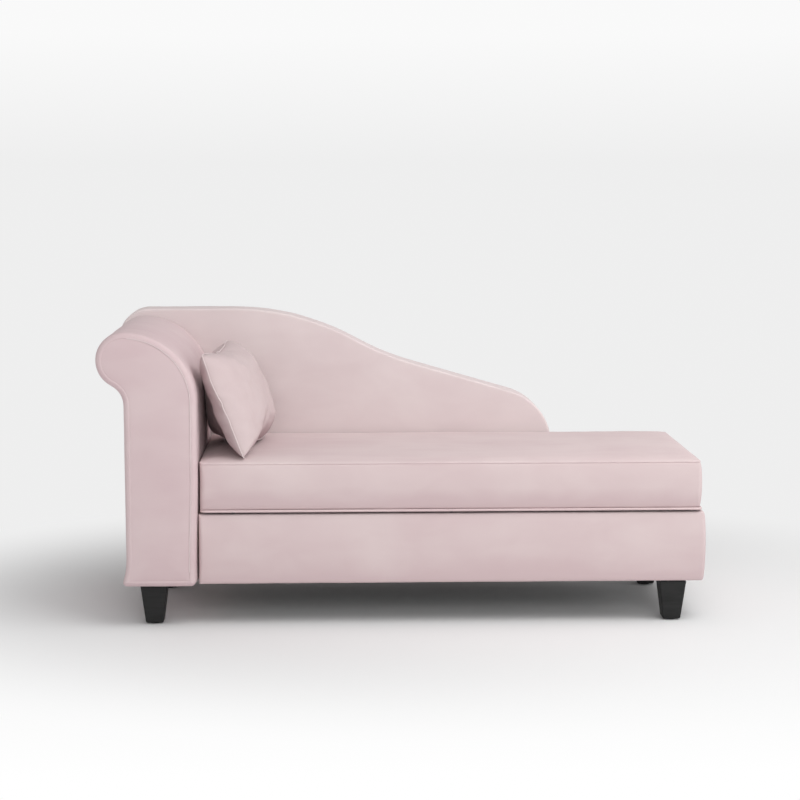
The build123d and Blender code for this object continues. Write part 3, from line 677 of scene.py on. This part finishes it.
seat_rings = [at_height(seat_outline(HEM_INSET), hem_z - HEM_DROP)]
seat_rings.append(at_height(seat_outline(SEAT_BULGE), hem_z))
for share in np.linspace(0.03, 0.97, 14):
    boxing = seat_outline(bulged(share, SEAT_BULGE, 0.7))
    seat_rings.append(at_height(boxing, hem_z + (seam_z - hem_z) * share))
for inset, up in SEAT_SEAM:
    seat_rings.append(at_height(seat_outline(inset), seam_z + up))
seat_mesh = SoftMesh()
seat_made = seat_mesh.stack(seat_rings)
seat_mesh.fill(seat_made[-1], seat_outline(TOP_INSET), seat_place, spacing=0.013)
# The seat wears a slightly deeper velvet copy, as painted shade.
seat_piece = seat_mesh.finish("seat_upholstery", velvet_seat_shaded, ripple=0.0009, seed=1.4)
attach(seat_piece, "seat")
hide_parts("seat_cover", "seat_foam")

# %% Welt along the seat's lower edge
welt_low, welt_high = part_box("seat_welt")
welt_radius = (welt_high.z - welt_low.z) / 2
welt_plan = box_outline(welt_low.x, welt_high.x, welt_low.y, welt_high.y, SEAT_CORNER, welt_radius)
welt_path = at_height(welt_plan, welt_low.z + welt_radius)
welt_piece = tube_along(welt_path, welt_radius, "seat_welt_cord", velvet_seam)
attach(welt_piece, "seat")
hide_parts("seat_welt")

# %% [markdown]
# ## Box base
# The box is boarded and padded on its show sides, and one cover is drawn over the rims and stapled
# inside. Rings climb from the hem under the box, round the lower edge, up the softly bulged sides and
# over the top edge to the inside of the panels.

# %% Base upholstery
base_low, base_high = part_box("base_cover")
floor_low, floor_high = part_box("base_floor")
HEM_CLEAR = 0.0006
HEM = floor_low.y - base_low.y - HEM_CLEAR
REAR_HEM = base_high.y - floor_high.y - HEM_CLEAR
BASE_CORNER, BASE_BULGE, BASE_EDGE = 0.012, 0.0065, 0.0060
# The rim from the hem outwards: inset on the padded sides, inset behind, distance from the edge
RIM_STEPS = ((HEM, REAR_HEM, 0.0), (0.0180, 0.0080, 0.0), (0.0096, 0.0022, 0.0002),
             (0.0068, 0.0004, 0.0018))


def base_outline(inset, rear=0.0):
    """The box in plan, drawn in on its padded sides; the plain rear wall has its own inset."""
    return box_outline(base_low.x - inset, base_high.x, base_low.y, base_high.y + inset - rear,
                       BASE_CORNER, inset)


base_rings = [at_height(base_outline(side, rear), base_low.z + off) for side, rear, off in RIM_STEPS]
for share in np.linspace(0, 1, 16):
    wall = base_outline(bulged(0.04 + 0.92 * share, BASE_BULGE, 0.6))
    wall_height = base_high.z - base_low.z - 2 * BASE_EDGE
    base_rings.append(at_height(wall, base_low.z + BASE_EDGE + wall_height * share))
for side, rear, off in RIM_STEPS[::-1]:
    base_rings.append(at_height(base_outline(side, rear), base_high.z - off))
base_mesh = SoftMesh()
base_mesh.stack(base_rings)
base_piece = base_mesh.finish("base_upholstery", velvet, ripple=0.0006, seed=5.2)
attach(base_piece, "base")
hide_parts("base_cover", "base_front_pad", "base_end_pad")

# %% [markdown]
# ## Pillow
# The lumbar pillow is two rectangles of velvet sewn round the edge and stuffed. A cloth simulation is
# the honest way to it: two flat sheets joined at the rim are blown up by pressure, so that the sides
# draw in, the corners stay as ears and small puckers appear along the seam.

# %% Flat pillow sheets
PILLOW_ROWS, PILLOW_COLUMNS = 44, 62
PILLOW_SIZE = (0.456, 0.308)
SHEET_OFFSET = 0.004
# How far each corner is drawn in: keys are towards the back (1) or front (-1), then top (1) or bottom (-1)
CORNER_PULL = {(-1, -1): 0.01, (1, -1): 0.20, (-1, 1): 0.06, (1, 1): 0.02}
PULL_POWER = 5
CELL_CORNERS = ((0, 0), (0, 1), (1, 1), (1, 0))


def flat_pillow():
    """Two sheets, a few millimetres apart, sharing their rim points."""
    verts, faces, grid = [], [], {}
    for side in (0, 1):
        for r in range(PILLOW_ROWS + 1):
            for c in range(PILLOW_COLUMNS + 1):
                rim = r in (0, PILLOW_ROWS) or c in (0, PILLOW_COLUMNS)
                if rim and side:
                    grid[side, r, c] = grid[0, r, c]
                    continue
                across, up = 2 * c / PILLOW_COLUMNS - 1, 2 * r / PILLOW_ROWS - 1
                corner = (1 if across > 0 else -1, 1 if up > 0 else -1)
                pull = 1 - CORNER_PULL[corner] * abs(across * up) ** PULL_POWER
                u = across * pull * PILLOW_SIZE[0] / 2
                v = up * pull * PILLOW_SIZE[1] / 2
                w = 0.0 if rim else (SHEET_OFFSET if side == 0 else -SHEET_OFFSET)
                grid[side, r, c] = len(verts)
                verts.append((u, v, w))
        for r in range(PILLOW_ROWS):
            for c in range(PILLOW_COLUMNS):
                loop = tuple(grid[side, r + i, c + j] for i, j in CELL_CORNERS)
                faces.append(loop if side == 0 else loop[::-1])
    rim = [grid[0, 0, c] for c in range(PILLOW_COLUMNS)]
    rim += [grid[0, r, PILLOW_COLUMNS] for r in range(PILLOW_ROWS)]
    rim += [grid[0, PILLOW_ROWS, c] for c in range(PILLOW_COLUMNS, 0, -1)]
    rim += [grid[0, r, 0] for r in range(PILLOW_ROWS, 0, -1)]
    return verts, faces, rim


pillow_verts, pillow_faces, pillow_rim = flat_pillow()
print("pillow sheets", len(pillow_verts), "points")

# %% Stuff the pillow
STUFFING_FRAMES = 30


def blow_up(verts, faces, frames):
    """Inflate the sheets with cloth pressure and return the points."""
    mesh = bpy.data.meshes.new("pillow_sheets")
    mesh.from_pydata(verts, [], faces)
    sheets = bpy.data.objects.new("pillow_sheets", mesh)
    bpy.context.scene.collection.objects.link(sheets)
    cloth = sheets.modifiers.new("stuffing", "CLOTH")
    cloth.settings.quality = 7
    cloth.settings.mass = 0.25
    cloth.settings.tension_stiffness = 18
    cloth.settings.compression_stiffness = 18
    cloth.settings.shear_stiffness = 8
    cloth.settings.bending_stiffness = 0.6
    cloth.settings.air_damping = 2.0
    cloth.settings.use_pressure = True
    cloth.settings.uniform_pressure_force = 5.0
    cloth.settings.effector_weights.gravity = 0
    cloth.collision_settings.use_collision = False
    cloth.point_cache.frame_start = 1
    cloth.point_cache.frame_end = frames
    scene = bpy.context.scene
    for step in range(1, frames + 1):
        scene.frame_set(step)
    still = sheets.evaluated_get(bpy.context.evaluated_depsgraph_get())
    points = np.array([v.co[:] for v in still.data.vertices])
    bpy.data.objects.remove(sheets)
    scene.frame_set(1)
    return points


pillow_points = blow_up(pillow_verts, pillow_faces, STUFFING_FRAMES)
span = pillow_points.max(0) - pillow_points.min(0)
print("pillow span", [round(float(v), 3) for v in span])

# %% [markdown]
# ### Settled stuffing
# A pillow that has been leant on isn't even: its crown is soft, it is fuller beside the arm, and the
# cloth has creases and a seam that waves. Formulas on the blown-up points give that, because each of
# these can then be set by one named value.

# %% Settle the stuffing
# How far the stuffing stands out to the seat's side and to the arm's side
FRONT_CROWN, REAR_CROWN, LEANING, LEAN_FROM = 0.077, 0.050, 2.5, 0.30
# The share of the simulation's drawing in that is kept
DRAW = 0.3
# The stuffing is soft in the middle, so the crown is flattened more than the edges
SOFTNESS = 0.045
CREASE, WAVE, SEAM_REACH = 0.0040, 0.0045, 0.020


def cloth_noise(u, v, across, up, layer):
    """Smooth noise over the sheet, in waves per metre; each layer is a pattern of its own."""
    return noise.noise(Vector((u * across, v * up, layer)))


flat_points = np.array(pillow_verts)
pillow_points[:, :2] = flat_points[:, :2] + DRAW * (pillow_points[:, :2] - flat_points[:, :2])
depth = np.abs(pillow_points[:, 2]) / SOFTNESS
full = 1 - math.exp(-span[2] / 2 / SOFTNESS)
# Towards the back of the seat the stuffing leans on the arm and fills the space beside it
towards_back = np.clip(flat_points[:, 0] / (PILLOW_SIZE[0] / 2) + LEAN_FROM, 0, 1)
crown = np.where(pillow_points[:, 2] > 0, FRONT_CROWN, -REAR_CROWN * (1 + LEANING * towards_back))
pillow_points[:, 2] = np.where(depth > 0, crown * (1 - np.exp(-depth)) / full, 0.0)
for i, (u, v, w) in enumerate(pillow_points):
    at_seam = math.exp(-abs(w) / SEAM_REACH)
    crease = cloth_noise(u, v, 14, 22, 0.7) + 0.7 * cloth_noise(u, v, 38, 46, 2.1)
    wave = cloth_noise(u, v, 20, 20, 5.0)
    pillow_points[i, 2] = w + CREASE * (1 - at_seam) * crease + WAVE * at_seam * wave
print("settled to", round(float(pillow_points[:, 2].max()), 3), "m on the seat's side")

# %% Lean the pillow against the arm
PILLOW_YAW, PILLOW_LEAN = 7.0, 22.8
NEARER_ARM, SEAT_CLEAR, ARM_CLEAR = 0.006, 0.0008, 0.0015
# Where the stuffing meets the arm it is pressed flat against it, with a soft edge round the flat
PRESS = 0.008
PILLOW_SEAM = 0.0017
yaw, lean = math.radians(PILLOW_YAW), math.radians(PILLOW_LEAN)
away = Vector((math.cos(yaw), -math.sin(yaw), 0))
face_normal = away * math.cos(lean) + Vector((0, 0, 1)) * math.sin(lean)
along = Vector((math.sin(yaw), math.cos(yaw), 0))
upward = face_normal.cross(along)
turn = Matrix((along, upward, face_normal)).transposed().to_4x4()
pillow_low, pillow_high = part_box("pillow_cover")
centre = (pillow_low + pillow_high) / 2 - Vector((NEARER_ARM, 0, 0))
placed = np.array([(turn @ Vector(p))[:] for p in pillow_points]) + np.array(centre)
placed[:, 2] += pillow_low.z - placed[pillow_rim, 2].min()
placed[:, 2] = np.maximum(placed[:, 2], seat_high.z + SEAT_CLEAR)
above_arc = np.clip(placed[:, 2] - (arm_high.z - SHOULDER), 0, SHOULDER)
arm_face = arm_low.x + ARM_ROLL + np.sqrt(SHOULDER ** 2 - above_arc ** 2)
off_arm = placed[:, 0] - arm_face
placed[:, 0] = arm_face + ARM_CLEAR + PRESS * np.logaddexp(0.0, off_arm / PRESS)
pillow_mesh = SoftMesh()
pillow_mesh.verts = [tuple(map(float, p)) for p in placed]
pillow_mesh.faces = pillow_faces
# The pillow wears a darker velvet copy, with strong painted shade underneath.
pillow_piece = pillow_mesh.finish("pillow_velvet", velvet_pillow_shaded)
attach(pillow_piece, "pillow")
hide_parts("pillow_cover", "pillow_insert")
# The seam cord wears the paler velvet copy, as a painted highlight.
pillow_seam = tube_along([placed[i] for i in pillow_rim], PILLOW_SEAM, "pillow_seam", velvet_painted_light, sides=6)
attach(pillow_seam, "pillow")

# %% [markdown]
# ## Boards, legs and small parts
# The legs are black lacquered wood, and the pieces inside the box show only when the seat is lifted:
# raw plywood, planed pine, brown hardboard, black lining and zinc bolts. One grain group serves all the
# woods. Its streaks run along X, the way most of the boards do.

# %% Grain group
grain_group, grain_in, grain_out = new_group(
    "wood_grain",
    [("Light", COLOUR, (0.7, 0.5, 0.3, 1)), ("Dark", COLOUR, (0.5, 0.33, 0.18, 1)),
     ("Streak", VALUE, 40.0)],
    SURFACE,
)
board_place = object_place(grain_group)
streaks = add_noise(grain_group, stretched(grain_group, board_place, (0.12, 1.0, 1.0)), 40.0, 5.0, warp=0.8)
grain_group.links.new(grain_in.outputs["Streak"], streaks.node.inputs["Scale"])
fibres = add_noise(grain_group, stretched(grain_group, board_place, (0.06, 1.0, 1.0)), 420.0, 2.0)
vein = add_range(grain_group, weighted(grain_group, streaks, 0.7, fibres), 0.36, 0.64, 0.0, 1.0)
vein_tone = add_mix(grain_group, vein, grain_in.outputs["Light"], grain_in.outputs["Dark"])
grain_group.links.new(vein_tone, grain_out.inputs["Colour"])
grain_group.links.new(add_range(grain_group, vein, 0.0, 1.0, 0.5, 0.68), grain_out.inputs["Roughness"])
grain_group.links.new(fibres, grain_out.inputs["Height"])


def wood_material(name, light, dark, streak, strength=0.15):
    """Wood with streaks of two tones and fine fibres."""
    material, tree, shader = new_material(name)
    values = {"Light": (*light, 1), "Dark": (*dark, 1), "Streak": streak}
    place_group(tree, shader, grain_group, values, strength, distance=0.0005)
    return material


plywood = wood_material("raw_plywood", (0.62, 0.46, 0.29), (0.50, 0.34, 0.19), 26.0)
pine = wood_material("planed_pine", (0.70, 0.52, 0.31), (0.55, 0.35, 0.17), 34.0)
hardboard = wood_material("brown_hardboard", (0.26, 0.17, 0.11), (0.20, 0.125, 0.08), 90.0)
lacquer = wood_material("black_lacquer", (0.014, 0.014, 0.014), (0.009, 0.009, 0.009), 60.0, 0.05)
lacquer_shader = lacquer.node_tree.nodes["Principled BSDF"]
lacquer_shader.inputs["Specular IOR Level"].default_value = 0.3
print("woods ready, grain group has", len(grain_group.nodes), "nodes")

# %% Cloth, felt, plastic and zinc
ROUGH_SPREAD = 0.08


def speckled_material(name, light, dark, scale, rough, metallic=0.0, depth=0.0004):
    """A fine mottled surface: lining, felt, moulded plastic or zinc plate."""
    material, tree, shader = new_material(name)
    coord = object_place(tree)
    mottle = add_noise(tree, coord, scale, detail=3.0, rough=0.6)
    wear = add_noise(tree, coord, scale * 0.08, detail=2.0)
    tone_mask = add_range(tree, add_math(tree, "ADD", mottle, wear), 0.8, 1.2, 0.0, 1.0)
    tree.links.new(add_mix(tree, tone_mask, (*light, 1), (*dark, 1)), shader.inputs["Base Color"])
    worn_rough = add_range(tree, wear, 0.3, 0.7, rough - ROUGH_SPREAD, rough + ROUGH_SPREAD)
    tree.links.new(worn_rough, shader.inputs["Roughness"])
    shader.inputs["Metallic"].default_value = metallic
    bump_from(tree, shader, mottle, strength=0.3, distance=depth)
    return material


lining = speckled_material("black_lining", (0.020, 0.020, 0.021), (0.032, 0.032, 0.034), 700.0, 0.85)
felt = speckled_material("grey_felt", (0.09, 0.09, 0.09), (0.14, 0.14, 0.14), 900.0, 0.9)
plastic = speckled_material("glide_plastic", (0.018, 0.018, 0.018), (0.026, 0.026, 0.026), 500.0, 0.5)
strap = speckled_material("elastic_strap", (0.05, 0.05, 0.055), (0.10, 0.10, 0.105), 450.0, 0.8)
zinc = speckled_material("zinc_plate", (0.52, 0.53, 0.55), (0.62, 0.63, 0.64), 120.0, 0.34,
                         metallic=1.0, depth=0.0001)
dark_plate = speckled_material("blackened_plate", (0.02, 0.02, 0.021), (0.03, 0.03, 0.031), 160.0, 0.5,
                               metallic=0.6, depth=0.0001)

SLOT_MATERIALS = {
    "plywood": plywood, "pine": pine, "hardboard": hardboard, "black_wood": lacquer, "zinc_steel": zinc,
    "black_plastic": plastic, "felt": felt, "black_lining": lining, "webbing": strap, "velvet": velvet,
    "foam": felt,
}
for part in frame["record"]["subparts"]:
    materials = nodes[part["node"]].data.materials
    materials.clear()
    plate = part["node"] == "leg_plates"
    materials.append(dark_plate if plate else SLOT_MATERIALS[part["material_slot"]])

# %% [markdown]
# ## Linings
# Two thin black cloths close the box and the seat from below. Each is a net with a faint sag between its
# staples, so that the light shows that it is cloth.

# %% Stapled linings
LINING_COLUMNS, LINING_ROWS = 40, 16
LINING_SAG, LINING_CLEAR = 0.0012, 0.0003


def lining_sheet(name, low, high, body, node):
    """A stretched cloth in a lining's place, with a slight sag, one face thick."""
    mesh = SoftMesh()
    for r in range(LINING_ROWS + 1):
        for c in range(LINING_COLUMNS + 1):
            u, v = c / LINING_COLUMNS, r / LINING_ROWS
            dip = LINING_SAG * (math.sin(math.pi * u) * math.sin(math.pi * v)) ** 0.5
            dip *= 0.8 + 0.2 * math.sin(7 * math.pi * u) * math.sin(3 * math.pi * v)
            x, y = low.x + (high.x - low.x) * u, low.y + (high.y - low.y) * v
            mesh.verts.append((x, y, high.z - LINING_CLEAR - dip))
    for r in range(LINING_ROWS):
        for c in range(LINING_COLUMNS):
            a = r * (LINING_COLUMNS + 1) + c
            mesh.faces.append((a, a + 1, a + LINING_COLUMNS + 2, a + LINING_COLUMNS + 1))
    piece = mesh.finish(name, lining, levels=0)
    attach(piece, body)
    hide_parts(node)


dust_low, dust_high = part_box("base_dust_cover")
lining_sheet("base_underside_cloth", dust_low, dust_high, "base", "base_dust_cover")
cloth_low, cloth_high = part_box("seat_lining")
lining_sheet("seat_underside_cloth", cloth_low, cloth_high, "seat", "seat_lining")

# %% [markdown]
# ## Floor, light and camera
# A pale floor that melts into the background, one wide soft light from above on the right, a large soft
# fill in front, a weak light low on the right and a grey sky. The camera stands a little above the seat,
# looks slightly down and sees the recamier almost square from the front through a long lens.


# %% Pale floor
def mix_shaders(tree, factor, first, second):
    """Two shaders mixed by a factor."""
    node = tree.nodes.new("ShaderNodeMixShader")
    tree.links.new(factor, node.inputs["Fac"])
    tree.links.new(first, node.inputs[1])
    tree.links.new(second, node.inputs[2])
    return node.outputs["Shader"]


BACKGROUND = (0.858, 0.858, 0.858)
FLOOR_HALF = 30
floor_corners = [(x * FLOOR_HALF, y * FLOOR_HALF, 0) for x, y in ((-1, -1), (1, -1), (1, 1), (-1, 1))]
floor_mesh = bpy.data.meshes.new("floor")
floor_mesh.from_pydata(floor_corners, [], [(0, 1, 2, 3)])
floor = bpy.data.objects.new("floor", floor_mesh)
bpy.context.scene.collection.objects.link(floor)
floor_material, floor_tree, floor_shader = new_material("pale_floor")
floor_shader.inputs["Base Color"].default_value = (0.81, 0.81, 0.81, 1)
floor_shader.inputs["Roughness"].default_value = 0.9
floor_shader.inputs["Specular IOR Level"].default_value = 0.1
where_on_floor = object_place(floor_tree)
oval = stretched(floor_tree, where_on_floor, scale=(1.1, 1.4, 1.0), shift=(-0.12, -0.12, 0.0))
distance = floor_tree.nodes.new("ShaderNodeVectorMath")
distance.operation = "LENGTH"
floor_tree.links.new(oval, distance.inputs[0])
reach = distance.outputs["Value"]
in_front = add_range(floor_tree, split_xyz(floor_tree, where_on_floor)["Y"], -1.6, 0.2, 1.0, 0.0)
not_far = add_range(floor_tree, reach, 3.8, 6.5, 1.0, 0.0)
near = add_math(floor_tree, "MULTIPLY", in_front, not_far)
far_glow = floor_tree.nodes.new("ShaderNodeEmission")
floor_tree.links.new(add_mix(floor_tree, near, (*BACKGROUND, 1), (1, 1, 1, 1)), far_glow.inputs["Color"])
fade = add_range(floor_tree, reach, 0.95, 2.1, 0.0, 1.0, smooth=True)
melted = mix_shaders(floor_tree, fade, floor_shader.outputs["BSDF"], far_glow.outputs["Emission"])
floor_tree.links.new(melted, floor_tree.nodes["Material Output"].inputs["Surface"])
floor_mesh.materials.append(floor_material)
print("floor", 2 * FLOOR_HALF, "m wide")

# %% Background
SKY_STRENGTH = 0.42
HIGH_SKY = (0.95, 0.95, 0.95)
world = bpy.data.worlds.new("studio")
bpy.context.scene.world = world
world.use_nodes = True
sky_tree = world.node_tree
sky = sky_tree.nodes["Background"]
sky.inputs["Color"].default_value = (1, 1, 1, 1)
sky.inputs["Strength"].default_value = SKY_STRENGTH
shown = sky_tree.nodes.new("ShaderNodeBackground")
ray = split_xyz(sky_tree, sky_tree.nodes.new("ShaderNodeTexCoord").outputs["Generated"])
height = add_range(sky_tree, ray["Z"], 0.0, 0.065, 0.0, 1.0)
sky_tree.links.new(add_mix(sky_tree, height, (*BACKGROUND, 1), (*HIGH_SKY, 1)), shown.inputs["Color"])
rays = sky_tree.nodes.new("ShaderNodeLightPath").outputs
seen = add_math(sky_tree, "MAXIMUM", rays["Is Camera Ray"], rays["Is Glossy Ray"])
seen = add_math(sky_tree, "MAXIMUM", seen, rays["Is Transmission Ray"])
sky_mix = mix_shaders(sky_tree, seen, sky.outputs["Background"], shown.outputs["Background"])
sky_tree.links.new(sky_mix, sky_tree.nodes["World Output"].inputs["Surface"])
print("sky strength", SKY_STRENGTH)


# %% Studio lights
def softbox(name, place, aim, size, power):
    """A rectangular lamp that faces its aim; metres and watts."""
    data = bpy.data.lights.new(name, "AREA")
    data.shape = "RECTANGLE"
    data.size, data.size_y = size
    data.energy = power
    lamp = bpy.data.objects.new(name, data)
    lamp.location = place
    lamp.rotation_euler = (Vector(aim) - Vector(place)).to_track_quat("-Z", "Y").to_euler()
    bpy.context.scene.collection.objects.link(lamp)
    print("lamp", name, power, "W")


softbox("overhead", place=(1.6, -1.2, 3.2), aim=(0.0, 0.0, 0.3), size=(3.0, 2.4), power=76)
softbox("front_fill", place=(0.4, -7.2, 2.9), aim=(0.0, 0.0, 0.45), size=(4.6, 3.4), power=154)
softbox("right_rim", place=(3.3, -0.3, 0.95), aim=(0.4, 0.0, 0.1), size=(1.6, 1.2), power=9)

# %% Camera
FOCAL_PIXELS, PICTURE_PIXELS, SENSOR = 1900.0, 800.0, 36.0
CAMERA_PLACE = (-0.183, -5.377, 1.247)
LOOKS_DOWN, TURNS_RIGHT = 7.12, 1.93
camera_data = bpy.data.cameras.new("camera")
camera_data.sensor_width = SENSOR
camera_data.lens = SENSOR * FOCAL_PIXELS / PICTURE_PIXELS
camera = bpy.data.objects.new("camera", camera_data)
camera.location = CAMERA_PLACE
camera.rotation_euler = (math.radians(90 - LOOKS_DOWN), 0.0, math.radians(-TURNS_RIGHT))
bpy.context.scene.collection.objects.link(camera)
bpy.context.scene.camera = camera
bpy.context.scene.view_settings.view_transform = "Standard"
print("camera lens", round(camera_data.lens, 2), "mm")
